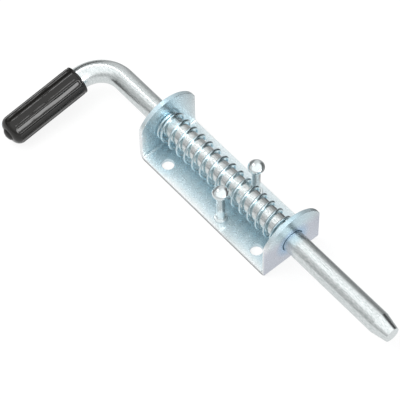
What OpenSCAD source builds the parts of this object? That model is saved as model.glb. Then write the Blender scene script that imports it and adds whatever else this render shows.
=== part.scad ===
// Spring bolt: a round bolt that slides in a folded bracket, pushed out by a
// coil spring, with a cranked handle and a sleeve grip.
// The origin is the middle of the bracket's back face. The bolt points along
// +X, and +Z stands away from the face that the bracket is screwed to.

/* [Bracket] */
// Length of the bracket over both ears
base_l = 128; // [115:0.5:180]
// Width of the bracket
base_w = 47; // [44:0.2:52]
// Thickness of the sheet
sheet_t = 3; // [2:0.1:4]
// Inside radius of the two folds
fold_r = 2; // [1:0.1:3]
// Height of the bolt's axis above the mounting face
axis_h = 22; // [21:0.5:28]
// Height of the ears above the mounting face
ear_h = 46; // [42:0.1:56]
// Radius of the ears' round tops
ear_r = 26.1; // [26.1:0.1:34]
// Radius of the ears' shoulders, between the round tops and the straight sides
shoulder_r = 2.5; // [1:0.1:6]
// Gap all round between the bolt and the bores in the ears
bore_gap = 0.6; // [0.2:0.05:0.8]

/* [Mounting holes] */
// Diameter of the mounting holes
hole_d = 8.7; // [4:0.1:9]
// Distance between the holes along the bracket
hole_span_l = 90.5; // [60:0.5:94]
// Distance between the holes across the bracket
hole_span_w = 29; // [24:0.1:30]

/* [Bolt] */
// Diameter of the bolt
rod_d = 16; // [12:0.5:17]
// How far the bolt reaches out of the front ear
rod_reach = 94.1; // [40:0.1:160]
// Length of the tip's cone
cone_l = 12; // [4:0.5:20]
// Diameter of the tip's flat end
tip_d = 11.2; // [6:0.1:11.8]
// Distance from the rear ear to the middle of the handle
handle_back = 67.5; // [50:0.1:100]
// Radius of the elbow, at the middle of the rod
elbow_r = 22.5; // [16:0.5:22.5]
// Angle by which the handle hangs below level, until its grip lies down
handle_drop = 7.8; // [0:0.1:7.8]

/* [Grip] */
// Diameter of the grip
grip_d = 21.5; // [20:0.1:24]
// Length of the grip, over the knob on its end
grip_l = 64.2; // [50:0.1:75]
// Distance from the bolt's axis to the mouth of the grip
grip_start = 22.5; // [22.5:0.5:26]
// Thickness of the grip's closed end, with the knob
grip_end_t = 5.4; // [4.6:0.1:8]
// Radius round the closed end
grip_round = 5.8; // [3:0.1:5.8]
// Diameter of the knob in the middle of the closed end
knob_d = 10; // [6:0.1:10]
// Height of the knob
knob_h = 2.3; // [1:0.1:3]
// Number of flutes round the grip
flute_count = 12; // [6:1:12]
// Depth of the flutes
flute_depth = 0.9; // [0.4:0.1:1.1]
// Radius of the flutes' round bottoms
flute_r = 3.9; // [3:0.1:6]
// Plain length between the grip's mouth and the flutes
flute_start = 2.2; // [2:0.1:6]
// Length of a flute
flute_l = 56; // [20:0.5:56]
// Turn of the first flute from the grip's top
flute_turn = 13.5; // [0:0.5:30]

/* [Spring] */
// Thickness of the spring's wire
wire_d = 1.8; // [1:0.1:1.9]
// Diameter of the coil's rear end, from middle to middle of the wire
coil_rear_d = 21.6; // [19:0.1:22]
// Diameter of the coil's narrower front end
coil_front_d = 19; // [18.8:0.1:21]
// Number of open turns
open_turns = 14; // [8:0.1:16]
// Number of closed turns at each end
closed_turns = 1; // [0:0.25:2]
// Turn of the wire's first end, from the top towards the front
coil_start = 345; // [0:1:359]

/* [Stop] */
// Diameter of the cross pin in the bolt
pin_d = 4.5; // [3:0.1:5.5]
// Length of the cross pin
pin_l = 29; // [25.5:0.1:30]
// Outer diameter of the washer
washer_d = 21.6; // [21:0.1:23]
// Thickness of the washer
washer_t = 1.2; // [1:0.1:3]

/* [Studs] */
// Diameter of the studs' shanks
stud_d = 6; // [5:0.1:7]
// Diameter of the studs' heads
head_d = 11.6; // [9:0.1:12]
// Height of the heads' rims above the mounting face
head_h = 33.7; // [26:0.1:40]
// Height of the dome on each head
dome_h = 2; // [1:0.1:3]
// Distance between the studs across the bracket
stud_span = 31.2; // [31:0.1:33]
// Distance from the rear ear's outside to the studs
stud_back = 74.5; // [66:0.1:90]
// Diameter of the collars that the studs stand on
collar_d = 9.4; // [8:0.1:11]
// Height of the collars
collar_h = 1.2; // [0.5:0.1:2]

/* [Hidden] */
$fn = 96;

// Gap between the washer and the bolt
washer_gap = 0.2;
// Gap left between pieces that lie against each other along the bolt
seat_gap = 0.1;
// Gap round pieces that are pushed or riveted into a hole
fit_gap = 0.02;
// Height by which the spring's loose top stays clear of the bolt
coil_rest_gap = 0.15;
// Gap between the wires of the closed turns
closed_gap = 0.07;
// Small overshoot of cutting shapes
cut = 1;

rear_x = -base_l / 2;
front_x = base_l / 2;
inner_rear_x = rear_x + sheet_t;
inner_front_x = front_x - sheet_t;
rod_r = rod_d / 2;
fold_out_r = fold_r + sheet_t;
bore_d = rod_d + 2 * bore_gap;
tip_x = front_x + rod_reach;
handle_x = rear_x - handle_back;
elbow_x = handle_x + elbow_r;
arm_l = grip_start + grip_l - grip_end_t;
stud_x = rear_x + stud_back;

// The pin rests on the front ear, and the washer and the spring on the pin.
pin_x = inner_front_x - seat_gap - pin_d / 2;
washer_x = pin_x - pin_d / 2 - seat_gap - washer_t;
coil_x0 = inner_rear_x + seat_gap + wire_d / 2;
coil_x1 = washer_x - seat_gap - wire_d / 2;
closed_pitch = wire_d + closed_gap;
open_pitch = (coil_x1 - coil_x0 - 2 * closed_turns * closed_pitch) / open_turns;
all_turns = open_turns + 2 * closed_turns;
coil_steps = 26;
wire_sides = 8;
tenon_d = stud_d - 1;

// Lays what is drawn along +Z out along +X.
module along_x() {
    rotate([0, 90, 0]) children();
}

// Turns what is drawn about the X axis, with the handle level, to where the
// bolt lies in the bracket.
module bolt_frame() {
    translate([0, 0, axis_h])
        rotate([handle_drop, 0, 0])
            children();
}

// Puts what is drawn along +Z onto the handle's arm, from the bolt's axis
// outwards, with its +Y side on top.
module on_handle() {
    translate([handle_x, 0, 0])
        rotate([90, 0, 0])
            children();
}

// Section of the folded sheet, seen from the front side.
module fold_section() {
    translate([rear_x + fold_out_r, 0])
        square([base_l - 2 * fold_out_r, sheet_t]);
    for (flip = [0, 1])
        mirror([flip, 0]) {
            translate([inner_front_x, fold_out_r])
                square([sheet_t, ear_h - fold_out_r + cut]);
            translate([front_x - fold_out_r, fold_out_r])
                intersection() {
                    difference() {
                        circle(r = fold_out_r);
                        circle(r = fold_r);
                    }
                    translate([0, -fold_out_r])
                        square(fold_out_r);
                }
        }
}

// Outline of the bracket, seen along the bolt: straight sides that run over
// rounded shoulders into a flatter round top.
module ear_outline() {
    top_z = ear_h - ear_r;
    side = base_w / 2 - shoulder_r;
    rise = sqrt(pow(ear_r - shoulder_r, 2) - pow(side, 2));
    reach = ear_r + cut;
    translate([-base_w / 2, -cut])
        square([base_w, top_z + rise + cut]);
    for (y = [-side, side])
        translate([y, top_z + rise])
            circle(r = shoulder_r);
    translate([0, top_z])
        intersection() {
            circle(r = ear_r, $fn = 180);
            polygon([
                [0, 0],
                [side / rise * reach, reach],
                [-side / rise * reach, reach]
            ]);
        }
}

module bracket() {
    color("#c3d6de")
    difference() {
        intersection() {
            rotate([90, 0, 0])
                linear_extrude(base_w + cut, center = true)
                    fold_section();
            translate([rear_x - cut, 0, 0])
                rotate([90, 0, 90])
                    linear_extrude(base_l + 2 * cut)
                        ear_outline();
        }
        translate([rear_x - cut, 0, axis_h])
            along_x()
                cylinder(d = bore_d, h = base_l + 2 * cut);
        for (x = [-1, 1], y = [-1, 1])
            translate([x * hole_span_l / 2, y * hole_span_w / 2, -cut])
                cylinder(d = hole_d, h = sheet_t + 2 * cut);
        for (y = [-1, 1])
            translate([stud_x, y * stud_span / 2, -cut])
                cylinder(d = tenon_d + 2 * fit_gap, h = sheet_t + 2 * cut);
    }
}

// Half section of the straight bolt and its cone, from the elbow to the tip.
module bolt_section() {
    shank_l = tip_x - elbow_x;
    polygon([
        [0, 0],
        [rod_r, 0],
        [rod_r, shank_l - cone_l],
        [tip_d / 2, shank_l],
        [0, shank_l]
    ]);
}

module bolt_rod() {
    color("#c8ccca")
    bolt_frame()
        difference() {
            union() {
                translate([elbow_x, 0, 0])
                    along_x()
                        rotate_extrude()
                            bolt_section();
                translate([elbow_x, -elbow_r, 0])
                    rotate([0, 0, 90])
                        rotate_extrude(angle = 90)
                            translate([elbow_r, 0])
                                circle(r = rod_r);
                on_handle()
                    translate([0, 0, elbow_r])
                        cylinder(r = rod_r, h = arm_l - elbow_r);
            }
            translate([pin_x, 0, 0])
                cylinder(d = pin_d + 2 * fit_gap, h = rod_d + 2 * cut, center = true);
        }
}

// Half section of the grip: a sleeve with a bead round its mouth, a rounded
// closed end and a low knob in the middle of that end.
module grip_section() {
    r = grip_d / 2;
    end_z = grip_l - knob_h;
    knob_r = knob_d / 2;
    dome_r = (pow(knob_r, 2) + pow(knob_h, 2)) / (2 * knob_h);
    bead_l = 1.6;
    neck = 0.4;
    difference() {
        union() {
            polygon([
                [0, 0],
                [r - neck, 0],
                [r - neck, bead_l],
                [r, bead_l + 2 * neck],
                [r, end_z - grip_round],
                [r - grip_round, end_z - grip_round],
                [r - grip_round, end_z],
                [0, end_z]
            ]);
            translate([r - bead_l / 2, bead_l / 2])
                circle(d = bead_l);
            intersection() {
                translate([r - grip_round, end_z - grip_round])
                    circle(r = grip_round);
                translate([r - grip_round, end_z - grip_round])
                    square(grip_round);
            }
            intersection() {
                translate([0, grip_l - dome_r])
                    circle(r = dome_r);
                translate([0, end_z - cut])
                    square([knob_r, knob_h + cut]);
            }
        }
        translate([0, -cut])
            square([rod_r + fit_gap, grip_l - grip_end_t + cut]);
    }
}

// A round-ended recess for one flute, lying beside the grip's axis. Its round
// ends run out of the grip's surface beyond their middles.
module flute() {
    end_l = sqrt(pow(flute_r, 2) - pow(flute_r - flute_depth, 2));
    straight_l = flute_l - 2 * end_l;
    translate([0, grip_d / 2 - flute_depth + flute_r, flute_start + end_l]) {
        cylinder(r = flute_r, h = straight_l);
        sphere(r = flute_r);
        translate([0, 0, straight_l])
            sphere(r = flute_r);
    }
}

module grip() {
    color("#262626")
    bolt_frame()
        on_handle()
            translate([0, 0, grip_start])
                difference() {
                    rotate_extrude()
                        grip_section();
                    for (i = [0 : flute_count - 1])
                        rotate(-flute_turn - i * 360 / flute_count)
                            flute();
                }
}

// Place along the bolt of the wire's middle, s turns from the rear end.
function coil_x(s) =
    s < closed_turns ? coil_x0 + s * closed_pitch :
    s > closed_turns + open_turns ? coil_x1 - (all_turns - s) * closed_pitch :
    coil_x0 + closed_turns * closed_pitch + (s - closed_turns) * open_pitch;

// Radius of the tapering coil, s turns from the rear end.
function coil_r(s) = (coil_rear_d + (coil_front_d - coil_rear_d) * s / all_turns) / 2;

// Height of the coil's middle there: the coil hangs from the bolt's top.
function coil_z(s) = axis_h - (coil_r(s) - wire_d / 2 - rod_r) + coil_rest_gap;

// Points of the wire's round section, s turns from the rear end. The section
// leans back by the coil's slope there.
function wire_ring(s) =
    let (
        a = coil_start + 360 * s,
        ds = 0.01,
        slope = atan((coil_x(s + ds) - coil_x(s - ds)) / (2 * ds) / (2 * PI * coil_r(s))),
        out = [0, -sin(a), cos(a)],
        along = [cos(slope), sin(slope) * cos(a), sin(slope) * sin(a)]
    )
    [for (j = [0 : wire_sides - 1])
        let (b = 360 * j / wire_sides)
        [coil_x(s), 0, coil_z(s)]
            + (coil_r(s) + wire_d / 2 * cos(b)) * out
            + wire_d / 2 * sin(b) * along];

module spring() {
    n = ceil(all_turns * coil_steps);
    k = wire_sides;
    points = [for (i = [0 : n]) each wire_ring(i * all_turns / n)];
    sides = [for (i = [0 : n - 1], j = [0 : k - 1])
        [i * k + j, i * k + (j + 1) % k, (i + 1) * k + (j + 1) % k, (i + 1) * k + j]];
    ends = [
        [for (j = [k - 1 : -1 : 0]) j],
        [for (j = [0 : k - 1]) n * k + j]
    ];
    color("#dfe5e6")
    polyhedron(points = points, faces = concat(sides, ends), convexity = 10);
}

module stop_washer() {
    color("#cfd8da")
    translate([washer_x, 0, axis_h])
        along_x()
            difference() {
                cylinder(d = washer_d, h = washer_t);
                translate([0, 0, -cut])
                    cylinder(d = rod_d + 2 * washer_gap, h = washer_t + 2 * cut);
            }
}

// The pin stands square to the handle, so it passes between the studs while
// the handle lies flat, and catches behind them once the handle is turned up.
module stop_pin() {
    bevel = 0.6;
    color("#b9bdbc")
    bolt_frame()
        translate([pin_x, 0, -pin_l / 2])
            rotate_extrude()
                polygon([
                    [0, 0],
                    [pin_d / 2 - bevel, 0],
                    [pin_d / 2, bevel],
                    [pin_d / 2, pin_l - bevel],
                    [pin_d / 2 - bevel, pin_l],
                    [0, pin_l]
                ]);
}

// Half section of a stud, from its riveted tail to its domed head.
module stud_section() {
    rim_t = 1.2;
    neck_h = 1.6;
    dome_r = (pow(head_d / 2, 2) + pow(dome_h, 2)) / (2 * dome_h);
    union() {
        square([tenon_d / 2, sheet_t + collar_h]);
        translate([0, sheet_t])
            square([collar_d / 2, collar_h]);
        translate([0, sheet_t])
            square([stud_d / 2, head_h - sheet_t]);
        polygon([
            [0, head_h - rim_t - neck_h],
            [stud_d / 2, head_h - rim_t - neck_h],
            [head_d / 2, head_h - rim_t],
            [head_d / 2, head_h],
            [0, head_h]
        ]);
        intersection() {
            translate([0, head_h + dome_h - dome_r])
                circle(r = dome_r, $fn = 180);
            translate([0, head_h - rim_t])
                square([head_d / 2, dome_h + rim_t]);
        }
    }
}

module stud(side) {
    translate([stud_x, side * stud_span / 2, 0])
        rotate_extrude()
            stud_section();
}

module front_stud() {
    color("#d5dad9")
    stud(-1);
}

module back_stud() {
    color("#d5dad9")
    stud(1);
}

bracket();
bolt_rod();
grip();
spring();
stop_washer();
stop_pin();
front_stud();
back_stud();
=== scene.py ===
"""Looks of the spring bolt: its spring, softened edges, finishes, studio and camera."""

import math

import bmesh
import bpy
from mathutils import Matrix, Vector


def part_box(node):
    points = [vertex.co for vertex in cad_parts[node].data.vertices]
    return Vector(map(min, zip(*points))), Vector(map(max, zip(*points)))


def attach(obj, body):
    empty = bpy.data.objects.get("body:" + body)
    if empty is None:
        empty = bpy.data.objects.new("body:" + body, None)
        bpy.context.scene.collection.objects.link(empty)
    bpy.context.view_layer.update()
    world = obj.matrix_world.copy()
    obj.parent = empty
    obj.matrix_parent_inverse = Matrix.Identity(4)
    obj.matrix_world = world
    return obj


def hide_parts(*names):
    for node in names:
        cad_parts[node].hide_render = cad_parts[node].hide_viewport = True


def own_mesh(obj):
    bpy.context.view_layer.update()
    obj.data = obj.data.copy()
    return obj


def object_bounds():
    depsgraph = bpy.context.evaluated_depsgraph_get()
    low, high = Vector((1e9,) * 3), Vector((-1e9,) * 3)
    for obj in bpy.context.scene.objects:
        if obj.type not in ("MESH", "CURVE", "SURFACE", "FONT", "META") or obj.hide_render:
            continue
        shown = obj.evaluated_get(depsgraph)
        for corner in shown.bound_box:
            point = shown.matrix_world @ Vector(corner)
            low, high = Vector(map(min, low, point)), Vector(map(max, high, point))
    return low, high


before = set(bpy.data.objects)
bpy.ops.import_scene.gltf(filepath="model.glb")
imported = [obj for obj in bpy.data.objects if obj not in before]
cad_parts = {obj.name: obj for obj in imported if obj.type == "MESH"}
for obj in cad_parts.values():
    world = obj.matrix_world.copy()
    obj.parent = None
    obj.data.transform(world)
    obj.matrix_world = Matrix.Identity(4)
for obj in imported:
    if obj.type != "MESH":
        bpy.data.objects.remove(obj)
cad_low, cad_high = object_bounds()

MM = 0.001
# Points closer than this, in metres, are one point.
SAME_PLACE = 1e-6
# Segments across a rolled sheet edge and round a turned corner.
ROLL_SEGMENTS = 4
ROUND_SEGMENTS = 8

# The bolt's axis and the sheet, in millimetres.
AXIS_Z = 22.0
ROD_R = 8.0
SHEET_T = 3.0
FOLD_OUT_R = 5.0
# Roundings of the sheet's cut edges: the sheared inner side and the burr side.
SHEET_ROLL = 0.9
SHEET_BURR = 0.25
# Faces that meet at less than the first angle are one flat face, and at more than the second
# they meet in a cut edge, in degrees.
FLAT_ANGLE = 0.3
CUT_ANGLE = 60

# The spring, in millimetres and degrees.
WIRE_D = 1.8
COIL_REAR_D = 21.6
COIL_FRONT_D = 19.0
OPEN_TURNS = 14
CLOSED_TURNS = 1
CLOSED_PITCH = 1.87
COIL_START_DEG = 345.0
COIL_REST_GAP = 0.15
WIRE_SIDES = 16
STEPS_PER_TURN = 50

# The grip, in millimetres and degrees. Its mouth lies GRIP_START from the bolt's axis.
HANDLE_X = -131.5
HANDLE_DROP = 7.8
GRIP_R = 10.75
GRIP_START = 22.5
GRIP_L = 64.2
GRIP_ROUND = 5.8
BORE_GAP = 0.02
BORE_L = 1.0
BORE_ROUND = 0.3
# The bead at the mouth, and the groove after it: its depth, where it is deepest and its length.
BEAD_L = 1.6
BEAD_ROUND = 0.75
GROOVE_DEPTH = 0.45
GROOVE_PLACE = 0.25
GROOVE_L = 0.8
# The knob on the closed end, and its two corners: how far in from its radius, how high above
# the end and how round.
KNOB_R = 5.0
KNOB_H = 2.3
KNOB_FOOT = (0.35, 0.4, 0.35)
KNOB_BROW = (1.6, 1.5, 0.9)
FLUTES = 12
FLUTE_R = 3.1
FLUTE_DEPTH = 0.9
FLUTE_FLAT = 0.55
FLUTE_LIP = 0.45
FLUTE_START = 2.2
FLUTE_L = 56.0
FLUTE_TURN = 13.5
GRIP_RINGS = 110
GRIP_STEPS = 360
SHOULDER_STEPS = 14

# The studs, in millimetres. A head is a superellipse above its rim and below it, and the
# powers say how square each half is.
STUD_X = 10.5
STUD_Y = 15.6
STUD_R = 3.0
TENON_R = 2.5
HEAD_R = 5.8
HEAD_H = 33.7
DOME_H = 2.2
HEAD_RIM = 1.3
HEAD_UNDER = 3.4
HEAD_SQUARE = 0.95
HEAD_TAPER = 1.35
HEAD_STEPS = 12
COLLAR_R = 4.7
COLLAR_H = 1.2
COLLAR_ROUND = 0.5
COLLAR_HOLLOW = 0.6
STUD_STEPS = 96

# The floor, in metres.
FLOOR_HALF = 3.0
FLOOR_GAP = 0.0002

# Camera, from the fit to the photograph's edges, in millimetres and degrees.
CAMERA_TARGET = (-10.627, -15.741, 0.0)
CAMERA_AZIMUTH = 50.529
CAMERA_ELEVATION = 56.644
CAMERA_ROLL = -1.385
CAMERA_DISTANCE = 1444.43
FOCAL_PIXELS = 2150.1
PICTURE_PIXELS = 400
SENSOR_MM = 36.0


def colour(code):
    """Turns an sRGB hex colour into Blender's linear one."""
    channels = [int(code[i:i + 2], 16) / 255 for i in (1, 3, 5)]
    linear = [c / 12.92 if c <= 0.04045 else ((c + 0.055) / 1.055) ** 2.4 for c in channels]
    return (*linear, 1.0)


def grey(level):
    """A linear grey."""
    return (level, level, level, 1.0)


def add(tree, kind, settings=None, links=None):
    """Adds a node, with its settings by attribute or socket and its linked sockets."""
    node = tree.nodes.new(kind)
    for name, value in (settings or {}).items():
        if isinstance(name, str) and hasattr(node, name):
            setattr(node, name, value)
        else:
            node.inputs[name].default_value = value
    for name, source in (links or {}).items():
        tree.links.new(source, node.inputs[name])
    return node


def noise(tree, place, scale, detail, roughness=0.5):
    """The level of a noise texture, between 0 and 1."""
    return add(tree, "ShaderNodeTexNoise",
               {"Scale": scale, "Detail": detail, "Roughness": roughness},
               {"Vector": place}).outputs["Fac"]


def remap(tree, value, start, end, low=0.0, high=1.0):
    """Turns start..end of a value into low..high, and holds it there beyond them."""
    return add(tree, "ShaderNodeMapRange",
               {"From Min": start, "From Max": end, "To Min": low, "To Max": high},
               {"Value": value}).outputs["Result"]


def calculate(tree, operation, first, second):
    """What a Math node makes of two values."""
    return add(tree, "ShaderNodeMath", {"operation": operation},
               {0: first, 1: second}).outputs["Value"]


def axes(tree, vector):
    """The X, Y and Z of a vector, by name."""
    return add(tree, "ShaderNodeSeparateXYZ", links={"Vector": vector}).outputs


def ramp(tree, factor, stops):
    """A colour from a ramp with stops of (place, colour)."""
    node = add(tree, "ShaderNodeValToRGB", links={"Fac": factor})
    elements = node.color_ramp.elements
    while len(elements) > 1:
        elements.remove(elements[-1])
    elements[0].position, elements[0].color = stops[0]
    for place, shade in stops[1:]:
        elements.new(place).color = shade
    return node.outputs["Color"]


def mixed(tree, amount, first, second):
    """The first colour turned into the second by an amount. The second may be a fixed colour."""
    node = add(tree, "ShaderNodeMix", {"data_type": "RGBA"}, {0: amount, 6: first})
    if isinstance(second, tuple):
        node.inputs[7].default_value = second
    else:
        tree.links.new(second, node.inputs[7])
    return node.outputs[2]


def bumped(tree, shader, height, strength, distance, under=None):
    """Gives a shader bumps from a height, over the normal of an earlier bump node if given."""
    links = {"Height": height}
    if under:
        links["Normal"] = under.outputs["Normal"]
    node = add(tree, "ShaderNodeBump", {"Strength": strength, "Distance": distance}, links)
    tree.links.new(node.outputs["Normal"], shader.inputs["Normal"])
    return node


def by_ray(tree, lit, mirrored, seen):
    """One shader of three: what lights the scene, what gloss mirrors and what the camera sees."""
    ray = add(tree, "ShaderNodeLightPath")
    first = add(tree, "ShaderNodeMixShader", links={
        "Fac": ray.outputs["Is Glossy Ray"], 1: lit.outputs[0], 2: mirrored.outputs[0]})
    second = add(tree, "ShaderNodeMixShader", links={
        "Fac": ray.outputs["Is Camera Ray"], 1: first.outputs[0], 2: seen.outputs[0]})
    return second.outputs[0]


def new_material(name, metallic):
    """A material with its tree, its Principled node and its Object coordinates."""
    material = bpy.data.materials.new(name)
    material.use_nodes = True
    tree = material.node_tree
    shader = tree.nodes["Principled BSDF"]
    shader.inputs["Metallic"].default_value = metallic
    place = add(tree, "ShaderNodeTexCoord").outputs["Object"]
    return material, tree, shader, place


def zinc_plated_sheet():
    """Cold-rolled steel sheet, zinc plated and blue passivated: satin, with a blue cast that thins
    out towards the long cut edges. Its deeper blue in the middle, under the spring and rod, is
    partly painted shade, and its near-white front edge is painted light."""
    material, tree, shader, place = new_material("zinc_plated_sheet_steel", 0.78)
    along = axes(tree, place)
    # The sheet's colour across it, from the front edge (0) to the back one (1): partly the
    # passivation's own blue tone, partly painted shade, deepest in the middle under the spring and
    # rod, and painted light that turns the front edge near white.
    spread = remap(tree, along["Y"], -0.024, 0.024)
    drift = remap(tree, noise(tree, place, 45.0, 3.0, 0.55), 0.0, 1.0, -0.05, 0.05)
    film_and_painted_light = ramp(tree, calculate(tree, "ADD", spread, drift), [
        (0.01, colour("#fafdfe")),
        (0.06, colour("#eaf4f6")),
        (0.12, colour("#dcecf2")),
        (0.26, colour("#d3e8f0")),
        (0.50, colour("#c3dee9")),
        (0.74, colour("#d2e6ee")),
        (0.90, colour("#d9e7ec")),
        (0.99, colour("#e8f1f3")),
    ])
    # The front ear's outer face: lilac low down, and bluer round its bore.
    outer = remap(tree, along["X"], 0.0615, 0.0630)
    lower = remap(tree, along["Z"], 0.036, 0.026)
    flat = add(tree, "ShaderNodeMapping", {"Scale": (0.0, 1.0, 1.0)}, {"Vector": place})
    reach = add(tree, "ShaderNodeVectorMath",
                {"operation": "DISTANCE", 1: (0.0, 0.0, AXIS_Z * MM)}, {0: flat.outputs["Vector"]})
    near = remap(tree, reach.outputs["Value"], 0.015, 0.009, 0.0, 0.8)
    for amount, code in ((lower, "#ced3de"), (near, "#a3c6e4")):
        film_and_painted_light = mixed(tree, calculate(tree, "MULTIPLY", outer, amount), film_and_painted_light, colour(code))
    tree.links.new(film_and_painted_light, shader.inputs["Base Color"])
    grain = noise(tree, place, 900.0, 2.0)
    tree.links.new(remap(tree, grain, 0.0, 1.0, 0.25, 0.31), shader.inputs["Roughness"])
    bumped(tree, shader, grain, 0.05, 0.00003)
    return material


def zinc_plated_bar():
    """Drawn steel bar under zinc plate: bright, with a fine mottle along its length."""
    material, tree, shader, place = new_material("zinc_plated_drawn_bar", 1.0)
    drawn = add(tree, "ShaderNodeMapping", {"Scale": (0.35, 1.0, 1.0)}, {"Vector": place})
    mottle = noise(tree, drawn.outputs["Vector"], 1300.0, 2.0, 0.6)
    tone = ramp(tree, mottle, [(0.36, colour("#d9e1e1")), (0.60, colour("#f1f6f7"))])
    tree.links.new(tone, shader.inputs["Base Color"])
    tree.links.new(remap(tree, mottle, 0.0, 1.0, 0.19, 0.30), shader.inputs["Roughness"])
    bumped(tree, shader, mottle, 0.3, 0.00005)
    return material


def plated_wire():
    """Hard-drawn spring wire with bright plate: smooth and shiny."""
    material, tree, shader, place = new_material("bright_plated_spring_wire", 1.0)
    shader.inputs["Base Color"].default_value = colour("#d2e4ea")
    mottle = noise(tree, place, 500.0, 2.0)
    tree.links.new(remap(tree, mottle, 0.0, 1.0, 0.06, 0.14), shader.inputs["Roughness"])
    return material


def plated_stud():
    """Headed and riveted studs with bright zinc plate: smooth, with soft forging waves."""
    material, tree, shader, place = new_material("bright_zinc_stud", 0.88)
    shader.inputs["Base Color"].default_value = colour("#e9f1f3")
    waves = noise(tree, place, 260.0, 2.0)
    tree.links.new(remap(tree, waves, 0.0, 1.0, 0.08, 0.16), shader.inputs["Roughness"])
    bumped(tree, shader, waves, 0.25, 0.0002)
    return material


def bright_pin():
    """Turned steel pin, left bright."""
    material, tree, shader, place = new_material("bright_turned_pin", 1.0)
    shader.inputs["Base Color"].default_value = colour("#d3d6d5")
    grain = noise(tree, place, 800.0, 2.0)
    tree.links.new(remap(tree, grain, 0.0, 1.0, 0.2, 0.3), shader.inputs["Roughness"])
    return material


def moulded_vinyl():
    """Moulded PVC sleeve: black and glossy, with soft sink waves and a fine skin."""
    material, tree, shader, place = new_material("moulded_black_pvc", 0.0)
    shader.inputs["Base Color"].default_value = colour("#131210")
    shader.inputs["IOR"].default_value = 1.5
    skin = noise(tree, place, 220.0, 3.0)
    tree.links.new(remap(tree, skin, 0.0, 1.0, 0.10, 0.20), shader.inputs["Roughness"])
    waves = bumped(tree, shader, noise(tree, place, 60.0, 1.0), 1.0, 0.0014)
    bumped(tree, shader, skin, 0.2, 0.00015, waves)
    return material


def give(piece, material):
    """Puts a material into every slot of a piece."""
    if not piece.data.materials:
        piece.data.materials.append(material)
    for i in range(len(piece.data.materials)):
        piece.data.materials[i] = material


def piece_from(bm, name, material):
    """Makes a smooth-shaded piece from a bmesh, with sharp edges where the bmesh has them."""
    for face in bm.faces:
        face.smooth = True
    mesh = bpy.data.meshes.new(name)
    bm.to_mesh(mesh)
    bm.free()
    if mesh.has_custom_normals:
        mesh.attributes.remove(mesh.attributes["custom_normal"])
    piece = bpy.data.objects.new(name, mesh)
    bpy.context.scene.collection.objects.link(piece)
    give(piece, material)
    return piece


def softened_bracket(material):
    """The folded sheet with softened cut edges: the sheared inner side is rolled over wider."""
    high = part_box("bracket")[1]
    bm = bmesh.new()
    bm.from_mesh(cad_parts["bracket"].data)
    bmesh.ops.remove_doubles(bm, verts=bm.verts, dist=SAME_PLACE)
    bmesh.ops.dissolve_limit(bm, angle_limit=math.radians(FLAT_ANGLE), verts=bm.verts,
                             edges=bm.edges, use_dissolve_boundaries=False)
    corner_x = high.x - FOLD_OUT_R * MM
    corner_z = FOLD_OUT_R * MM

    def depth(point):
        """How deep a point lies in the sheet, from the bracket's outer side."""
        x, z = abs(point.x), point.z
        if z > corner_z:
            return high.x - x
        if x < corner_x:
            return z
        return FOLD_OUT_R * MM - math.hypot(x - corner_x, z - corner_z)

    def is_cut(edge):
        """Whether an edge borders the sheet's cut sides, its holes or its bores."""
        return len(edge.link_faces) == 2 and edge.calc_face_angle() > math.radians(CUT_ANGLE)

    for inner, width in ((True, SHEET_ROLL), (False, SHEET_BURR)):
        rim = [e for e in bm.edges if is_cut(e)
               and (depth((e.verts[0].co + e.verts[1].co) / 2) > SHEET_T / 2 * MM) == inner]
        made = bmesh.ops.bevel(bm, geom=rim, offset=width * MM, offset_type="OFFSET",
                               segments=ROLL_SEGMENTS, profile=0.5, affect="EDGES", material=-1,
                               clamp_overlap=True)
        rolled = set(made["faces"])
        for face in rolled:
            for edge in face.edges:
                edge.smooth = all(f in rolled for f in edge.link_faces)
    bracket = piece_from(bm, "folded_bracket", material)
    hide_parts("bracket")
    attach(bracket, "base")


def lathe(profile, rounds, steps):
    """Turns a profile of (radius, height) about Z. Rounds gives some of its corners a radius."""
    bm = bmesh.new()
    corners = [bm.verts.new((r * MM, 0, z * MM)) for r, z in profile]
    for pair in zip(corners, corners[1:]):
        bm.edges.new(pair)
    for number, radius in rounds.items():
        bmesh.ops.bevel(bm, geom=[corners[number]], offset=radius * MM, offset_type="OFFSET",
                        segments=ROUND_SEGMENTS, profile=0.5, affect="VERTICES",
                        material=-1)
    bmesh.ops.spin(bm, geom=bm.verts[:] + bm.edges[:], cent=(0, 0, 0), axis=(0, 0, 1),
                   angle=math.tau, steps=steps, use_merge=True, use_duplicate=False)
    bmesh.ops.remove_doubles(bm, verts=bm.verts, dist=SAME_PLACE)
    bmesh.ops.recalc_face_normals(bm, faces=bm.faces)
    return bm


def soft_min(a, b, width):
    """The smaller of two values, with the change-over rounded off."""
    overlap = max(width - abs(a - b), 0) / width
    return min(a, b) - overlap * overlap * width / 4


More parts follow.
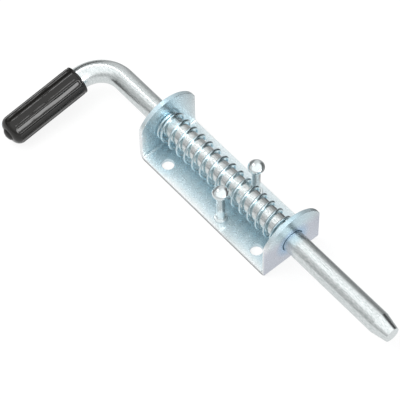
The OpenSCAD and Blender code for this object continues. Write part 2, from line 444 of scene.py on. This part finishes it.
def carve_flutes(bm):
    """Sinks round-ended flutes with flat bottoms and soft lips into a lathed sleeve along Z."""
    axis_r = GRIP_R - FLUTE_DEPTH + FLUTE_R
    end_l = math.sqrt(FLUTE_R ** 2 - (FLUTE_R - FLUTE_DEPTH) ** 2)
    first, last = FLUTE_START + end_l, FLUTE_START + FLUTE_L - end_l
    pitch = math.tau / FLUTES
    # Only the sleeve's outside is carved, past its bead.
    inside_r, bead_end = GRIP_R - 1.5, BEAD_L + 0.2
    for vert in bm.verts:
        z = vert.co.z / MM
        r = math.hypot(vert.co.x, vert.co.y) / MM
        if r < inside_r or z < bead_end:
            continue
        # Angle from the nearest flute's middle. Local +Y is the grip's top, +X the tip's side.
        turn = math.atan2(vert.co.x, vert.co.y) - math.radians(FLUTE_TURN)
        turn = (turn + pitch / 2) % pitch - pitch / 2
        past = max(first - z, z - last, 0)
        room = FLUTE_R ** 2 - past ** 2 - (axis_r * math.sin(turn)) ** 2
        if room <= 0:
            continue
        bottom = axis_r * math.cos(turn) - math.sqrt(room)
        flat = (GRIP_R - FLUTE_FLAT) / math.cos(turn)
        carved = soft_min(r, -soft_min(-bottom, -flat, FLUTE_LIP), FLUTE_LIP)
        vert.co.x *= carved / r
        vert.co.y *= carved / r


def fluted_grip(material):
    """The moulded sleeve: a beaded mouth, soft-lipped flutes and a round end with a low knob."""
    end_z = GRIP_L - KNOB_H
    straight_end = end_z - GRIP_ROUND
    straight_start = BEAD_L + GROOVE_L
    bore_r = ROD_R + BORE_GAP
    mouth = [(bore_r, BORE_L), (bore_r, 0), (GRIP_R, 0), (GRIP_R, BEAD_L),
             (GRIP_R - GROOVE_DEPTH, BEAD_L + GROOVE_PLACE)]
    body = [(GRIP_R, straight_start + (straight_end - straight_start) * i / GRIP_RINGS)
            for i in range(GRIP_RINGS)]
    shoulder = [(GRIP_R - GRIP_ROUND + GRIP_ROUND * math.cos(a),
                 straight_end + GRIP_ROUND * math.sin(a))
                for a in (math.radians(90 * i / SHOULDER_STEPS)
                          for i in range(SHOULDER_STEPS + 1))]
    foot, brow = ((KNOB_R - inwards, end_z + up) for inwards, up, _ in (KNOB_FOOT, KNOB_BROW))
    profile = mouth + body + shoulder + [foot, brow, (0, GRIP_L)]
    rounds = {2: BEAD_ROUND, 3: BEAD_ROUND, 1: BORE_ROUND, len(profile) - 3: KNOB_FOOT[2],
              len(profile) - 2: KNOB_BROW[2]}
    bm = lathe(profile, rounds, GRIP_STEPS)
    carve_flutes(bm)
    place = (Matrix.Translation((0, 0, AXIS_Z * MM))
             @ Matrix.Rotation(math.radians(HANDLE_DROP), 4, "X")
             @ Matrix.Translation((HANDLE_X * MM, 0, 0))
             @ Matrix.Rotation(math.radians(90), 4, "X")
             @ Matrix.Translation((0, 0, GRIP_START * MM)))
    bmesh.ops.transform(bm, matrix=place, verts=bm.verts)
    grip = piece_from(bm, "moulded_grip", material)
    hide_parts("grip")
    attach(grip, "bolt")


def headed_stud(node, name, side, material):
    """A riveted stud: a collar on the plate, a round shank and a domed head with a soft rim."""
    rim_z = HEAD_H - HEAD_RIM
    head = []
    for i in range(-HEAD_STEPS, HEAD_STEPS + 1):
        a = math.radians(90 * i / HEAD_STEPS)
        if i > 0:
            inner, height, power = 0, HEAD_H + DOME_H - rim_z, HEAD_SQUARE
        else:
            inner, height, power = STUD_R, HEAD_UNDER, HEAD_TAPER
        out = math.cos(a) ** power
        up = math.copysign(abs(math.sin(a)) ** power, a)
        head.append((inner + (HEAD_R - inner) * out, rim_z + height * up))
    collar_z = SHEET_T + COLLAR_H
    profile = [(0, 0), (TENON_R, 0), (TENON_R, SHEET_T), (COLLAR_R, SHEET_T),
               (COLLAR_R, collar_z), (STUD_R, collar_z), *head]
    bm = lathe(profile, {4: COLLAR_ROUND, 5: COLLAR_HOLLOW}, STUD_STEPS)
    bmesh.ops.translate(bm, verts=bm.verts, vec=(STUD_X * MM, side * STUD_Y * MM, 0))
    stud = piece_from(bm, name, material)
    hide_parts(node)
    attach(stud, "base")


def coil_spring(material):
    """Winds the spring: a closed turn, open turns and a closed turn. It tapers forwards and
    hangs from the bolt's top."""
    low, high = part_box("spring")
    wire_r = WIRE_D / 2 * MM
    rear_r = COIL_REAR_D / 2 * MM
    coil_length = high.x - low.x
    closed_pitch = CLOSED_PITCH * MM
    open_pitch = (coil_length - WIRE_D * MM - 2 * CLOSED_TURNS * closed_pitch) / OPEN_TURNS
    middle_z = (AXIS_Z + ROD_R + COIL_REST_GAP) * MM - rear_r + wire_r
    centre = Vector((low.x + wire_r, 0, middle_z))
    start = math.radians(COIL_START_DEG)
    bm = bmesh.new()
    section = bmesh.ops.create_circle(bm, radius=wire_r, segments=WIRE_SIDES)["verts"]
    # The section lies square to the first direction of winding.
    stand = (Matrix.Translation(centre) @ Matrix.Rotation(start, 4, "X")
             @ Matrix.Translation((0, 0, rear_r)) @ Matrix.Rotation(math.radians(90), 4, "X"))
    bmesh.ops.transform(bm, matrix=stand, verts=section)
    ring = section + list({e for v in section for e in v.link_edges})

    def cap():
        """Closes the wire's end at the present ring."""
        edges = [g for g in ring if isinstance(g, bmesh.types.BMEdge)]
        bmesh.ops.contextual_create(bm, geom=edges)

    cap()
    for turns, pitch in ((CLOSED_TURNS, closed_pitch), (OPEN_TURNS, open_pitch),
                         (CLOSED_TURNS, closed_pitch)):
        made = bmesh.ops.spin(
            bm, geom=ring, cent=centre, axis=(1, 0, 0), angle=math.tau * turns,
            steps=turns * STEPS_PER_TURN, dvec=(pitch / STEPS_PER_TURN, 0, 0), use_merge=False,
            use_duplicate=False)
        ring = [g for g in made["geom_last"] if not isinstance(g, bmesh.types.BMFace)]
    cap()
    # Each ring is drawn in to the coil's radius there, and up so that the coil rests on the bolt.
    bm.verts.index_update()
    last = len(bm.verts) // WIRE_SIDES - 1
    taper = (COIL_REAR_D - COIL_FRONT_D) / 2 * MM
    for vert in bm.verts:
        ring_number = vert.index // WIRE_SIDES
        a = start + math.tau * ring_number / STEPS_PER_TURN
        vert.co += Vector((0, math.sin(a), 1 - math.cos(a))) * (taper * ring_number / last)
    bmesh.ops.recalc_face_normals(bm, faces=bm.faces)
    spring = piece_from(bm, "wound_spring", material)
    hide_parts("spring")
    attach(spring, "base")
    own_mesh(spring)


def set_finishes():
    """Gives the CAD pieces their finishes, and stands the finer pieces in for five of them."""
    sheet, wire, stud, vinyl = zinc_plated_sheet(), plated_wire(), plated_stud(), moulded_vinyl()
    finishes = {
        "bracket": sheet,
        "stop_washer": sheet,
        "bolt_rod": zinc_plated_bar(),
        "grip": vinyl,
        "spring": wire,
        "stop_pin": bright_pin(),
        "front_stud": stud,
        "back_stud": stud,
    }
    for node, material in finishes.items():
        give(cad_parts[node], material)
    softened_bracket(sheet)
    fluted_grip(vinyl)
    coil_spring(wire)
    headed_stud("front_stud", "domed_stud_front", -1, stud)
    headed_stud("back_stud", "domed_stud_back", 1, stud)


def studio_floor():
    """A wide pale floor under the object. Seen directly it is white and keeps a soft shadow,
    and in mirrors it falls off towards the back, with two painted dark patches: a dark reflection
    for the studs' heads and a contact shadow under the plate's front edge."""
    bm = bmesh.new()
    bmesh.ops.create_grid(bm, x_segments=1, y_segments=1, size=FLOOR_HALF)
    bmesh.ops.translate(bm, verts=bm.verts, vec=(0, 0, cad_low.z - FLOOR_GAP))
    material = bpy.data.materials.new("studio_floor")
    material.use_nodes = True
    tree = material.node_tree
    tree.nodes.clear()
    place = add(tree, "ShaderNodeTexCoord").outputs["Object"]
    along = axes(tree, place)

    def strip(axis, low_edge, high_edge, soft):
        """1 between two places along an axis, in metres, and 0 beyond them, with soft edges."""
        rise = remap(tree, along[axis], low_edge - soft, low_edge + soft)
        fall = remap(tree, along[axis], high_edge + soft, high_edge - soft)
        return calculate(tree, "MULTIPLY", rise, fall)

    # From in front of the object (0) to behind it (1).
    shade = ramp(tree, remap(tree, along["Y"], -0.10, 0.30), [
        (0.0, grey(0.80)), (0.25, grey(0.78)), (0.30, grey(0.84)), (0.325, grey(0.80)),
        (0.37, grey(0.45)), (0.50, grey(0.24)), (0.75, grey(0.45))])
    # Seen only in mirrors: a painted dark reflection behind the studs' heads, and a painted
    # contact shadow along the line where the plate's front edge stands on the floor.
    for x_low, x_high, y_low, y_high, soft in ((-0.030, 0.05, 0.030, 1.0, 0.006),
                                               (-0.064, 0.063, -0.0244, -0.020, 0.0003)):
        patch = calculate(tree, "MULTIPLY", strip("X", x_low, x_high, soft),
                          strip("Y", y_low, y_high, soft))
        shade = mixed(tree, patch, shade, grey(0.08))
    paint = add(tree, "ShaderNodeBsdfDiffuse", {"Color": grey(0.8)})
    mirrored = add(tree, "ShaderNodeEmission", links={"Color": shade})
    shadowed = add(tree, "ShaderNodeBsdfDiffuse", {"Color": grey(0.16)})
    glow = add(tree, "ShaderNodeEmission", {"Color": grey(1.0), "Strength": 0.86})
    seen = add(tree, "ShaderNodeAddShader", links={0: shadowed.outputs[0], 1: glow.outputs[0]})
    output = add(tree, "ShaderNodeOutputMaterial")
    tree.links.new(by_ray(tree, paint, mirrored, seen), output.inputs["Surface"])
    floor = piece_from(bm, "studio_floor", material)


def studio_world():
    """A white surround. Metal mirrors a broad soft light overhead, greyer walls beside it, a dark
    card and two soft boxes."""
    world = bpy.data.worlds.new("studio")
    bpy.context.scene.world = world
    world.use_nodes = True
    tree = world.node_tree
    tree.nodes.clear()
    direction = add(tree, "ShaderNodeTexCoord").outputs["Generated"]
    along = axes(tree, direction)
    # Angle round the bolt's axis, from overhead (0) towards the back (+) and the front (-).
    angle = calculate(tree, "ARCTAN2", along["Y"], along["Z"])
    turn = remap(tree, angle, -math.pi, math.pi)

    def walls(stops):
        """Walls round the bolt's axis, from stops of (degrees, level)."""
        return ramp(tree, turn, [(0.5 + a / 360, grey(level)) for a, level in stops])

    def between(low_x, high_x):
        """0 where the direction's X is below the first value, 1 above the second."""
        return remap(tree, along["X"], low_x, high_x)

    def round_patch(towards, radius_deg, edge_deg, level=1.0):
        """A level inside a round patch of directions and 0 outside it, with a soft edge."""
        aim = add(tree, "ShaderNodeVectorMath",
                  {"operation": "DOT_PRODUCT", 1: Vector(towards).normalized()}, {0: direction})
        return remap(tree, aim.outputs["Value"], math.cos(math.radians(radius_deg + edge_deg)),
                     math.cos(math.radians(radius_deg)), 0.0, level)

    back = [(125, 0.50), (180, 0.60)]
    beside = walls([
        (-180, 0.66), (-110, 0.66), (-90, 0.48), (-48, 0.48), (-34, 0.58), (-26, 1.16),
        (-10, 1.16), (2, 0.92), (42, 0.92), (52, 0.70), (66, 0.42), (80, 0.28), (100, 0.34),
        *back])
    beyond = walls([
        (-180, 0.66), (-110, 0.66), (-90, 0.48), (-62, 0.60), (-42, 1.10), (42, 1.15),
        (50, 0.30), (58, 0.04), (108, 0.04), *back])
    behind = ramp(tree, between(-0.84, -0.72), [(0.0, grey(0.10)), (1.0, grey(0.62))])
    room = mixed(tree, between(-0.36, -0.26), beside, beyond)
    room = mixed(tree, between(-0.52, -0.45), behind, room)
    # A dark card for the left side of the studs' heads.
    room = mixed(tree, round_patch((-0.70, -0.71, 0.0), 18.0, 2.0), room, grey(0.12))
    mirrored = add(tree, "ShaderNodeBackground", {"Strength": 1.0}, {"Color": room})
    for towards, radius, edge, strength in (((0.851, 0.167, 0.498), 11.0, 4.0, 6.5),
                                            ((-0.57, 0.124, 0.812), 4.0, 2.0, 5.0)):
        box = add(tree, "ShaderNodeBackground", {"Color": grey(1.0)},
                  {"Strength": round_patch(towards, radius, edge, strength)})
        mirrored = add(tree, "ShaderNodeAddShader",
                       links={0: mirrored.outputs[0], 1: box.outputs[0]})
    lit = add(tree, "ShaderNodeBackground", {"Color": grey(1.0), "Strength": 0.85})
    seen = add(tree, "ShaderNodeBackground", {"Color": grey(1.0), "Strength": 1.0})
    output = add(tree, "ShaderNodeOutputWorld")
    tree.links.new(by_ray(tree, lit, mirrored, seen), output.inputs["Surface"])


def studio_lamp():
    """One broad lamp high on the left, which gives the floor its soft shadow."""
    lamp = bpy.data.lights.new("soft_lamp", "AREA")
    lamp.shape = "RECTANGLE"
    lamp.size = 0.9
    lamp.size_y = 0.5
    lamp.energy = 6.0
    holder = bpy.data.objects.new("soft_lamp", lamp)
    holder.location = (-0.35, -0.35, 0.9)
    holder.rotation_mode = "QUATERNION"
    holder.rotation_quaternion = (-holder.location).to_track_quat("-Z", "Y")
    holder.visible_glossy = False
    bpy.context.scene.collection.objects.link(holder)


def photograph_camera():
    """Stands the camera where the photograph was taken from."""
    azimuth, elevation, roll = (
        math.radians(a) for a in (CAMERA_AZIMUTH, CAMERA_ELEVATION, CAMERA_ROLL))
    back = Vector((math.sin(azimuth) * math.cos(elevation),
                   -math.cos(azimuth) * math.cos(elevation), math.sin(elevation)))
    level = Vector((math.cos(azimuth), math.sin(azimuth), 0))
    upright = back.cross(level)
    right = level * math.cos(roll) + upright * math.sin(roll)
    up = upright * math.cos(roll) - level * math.sin(roll)
    place = Vector(CAMERA_TARGET) * MM + back * CAMERA_DISTANCE * MM
    camera = bpy.data.objects.new("camera", bpy.data.cameras.new("camera"))
    camera.data.sensor_width = SENSOR_MM
    camera.data.lens = FOCAL_PIXELS / PICTURE_PIXELS * SENSOR_MM
    camera.data.clip_start = 0.1
    camera.data.clip_end = 20.0
    turned = Matrix((right, up, back)).transposed().to_4x4()
    camera.matrix_world = Matrix.Translation(place) @ turned
    bpy.context.scene.collection.objects.link(camera)
    bpy.context.scene.camera = camera


photograph_camera()
set_finishes()
studio_floor()
studio_world()
studio_lamp()
bpy.context.scene.view_settings.view_transform = "Standard"
